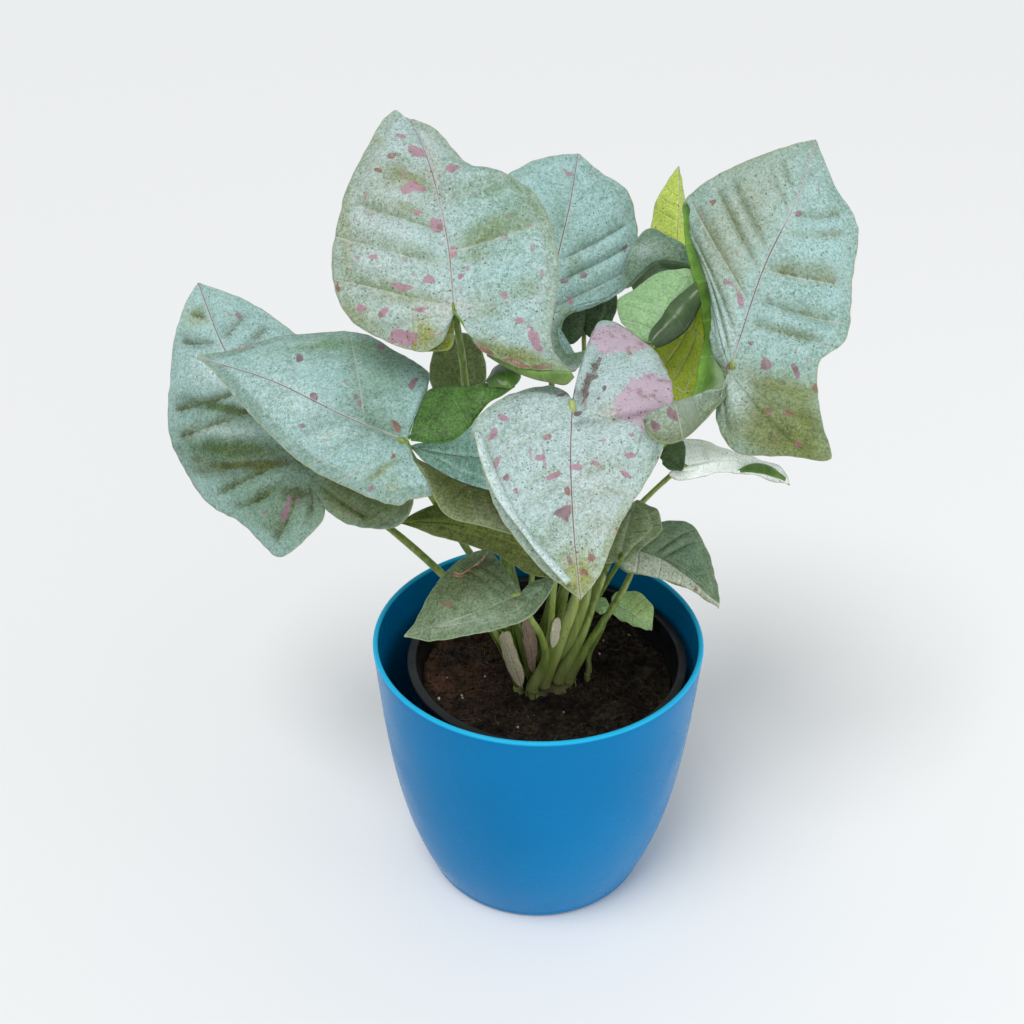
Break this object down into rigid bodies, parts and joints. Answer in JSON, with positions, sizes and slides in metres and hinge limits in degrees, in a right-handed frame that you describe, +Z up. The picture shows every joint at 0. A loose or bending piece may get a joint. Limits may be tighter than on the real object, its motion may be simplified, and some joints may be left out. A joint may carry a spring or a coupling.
{
  "type": "potted arrowhead plant",
  "caption": "Arrowhead plant with pale speckled leaves on green stalks, in a black nursery pot inside a rounded blue planter.",
  "frame": {"origin": "centre of the planter's flat base, on the surface it stands on", "axes": "+Z up along the planter's axis, -Y towards the plant's front, +X to the right seen from the front"},
  "size_m": [0.3176, 0.2116, 0.3672],
  "materials": {
    "planter": "glossy blue moulded plastic",
    "nursery_pot": "thin black plastic",
    "soil": "moist dark potting soil with fibres",
    "crown": "greenish brown plant tissue",
    "leaf": "pale mint leaf with dark speckles and pink splashes",
    "stalk": "smooth green leaf stalk",
    "sheath": "dry papery sheath",
    "strand": "dried leaf strand"
  },
  "bodies": {
    "root": {"crown": "crown", "dried_strand": "strand", "leaf_back_under": "leaf", "leaf_backlit": "leaf", "leaf_far_left": "leaf", "leaf_front": "leaf", "leaf_grey_back": "leaf", "leaf_inner_back": "leaf", "leaf_inner_small": "leaf", "leaf_left_front": "leaf", "leaf_low_center": "leaf", "leaf_low_left": "leaf", "leaf_mid_small": "leaf", "leaf_right_low": "leaf", "leaf_right_lower": "leaf", "leaf_seedling_bud": "leaf", "leaf_seedling_leaf": "leaf", "leaf_top_back": "leaf", "leaf_top_left": "leaf", "leaf_top_right": "leaf", "leaf_upright": "leaf", "leaf_young_roll": "leaf", "nursery_pot": "nursery_pot", "planter": "planter", "sheath_brown": "sheath", "sheath_cream": "sheath", "sheath_inner": "sheath", "soil": "soil", "stalk_back_under": "stalk", "stalk_backlit": "stalk", "stalk_far_left": "stalk", "stalk_front": "stalk", "stalk_grey_back": "stalk", "stalk_inner_back": "stalk", "stalk_inner_small": "stalk", "stalk_left_front": "stalk", "stalk_low_center": "stalk", "stalk_low_left": "stalk", "stalk_mid_small": "stalk", "stalk_right_low": "stalk", "stalk_right_lower": "stalk", "stalk_seedling_leaf": "stalk", "stalk_top_back": "stalk", "stalk_top_left": "stalk", "stalk_top_right": "stalk", "stalk_upright": "stalk", "stalk_young_roll": "stalk"}
  },
  "joints": []
}
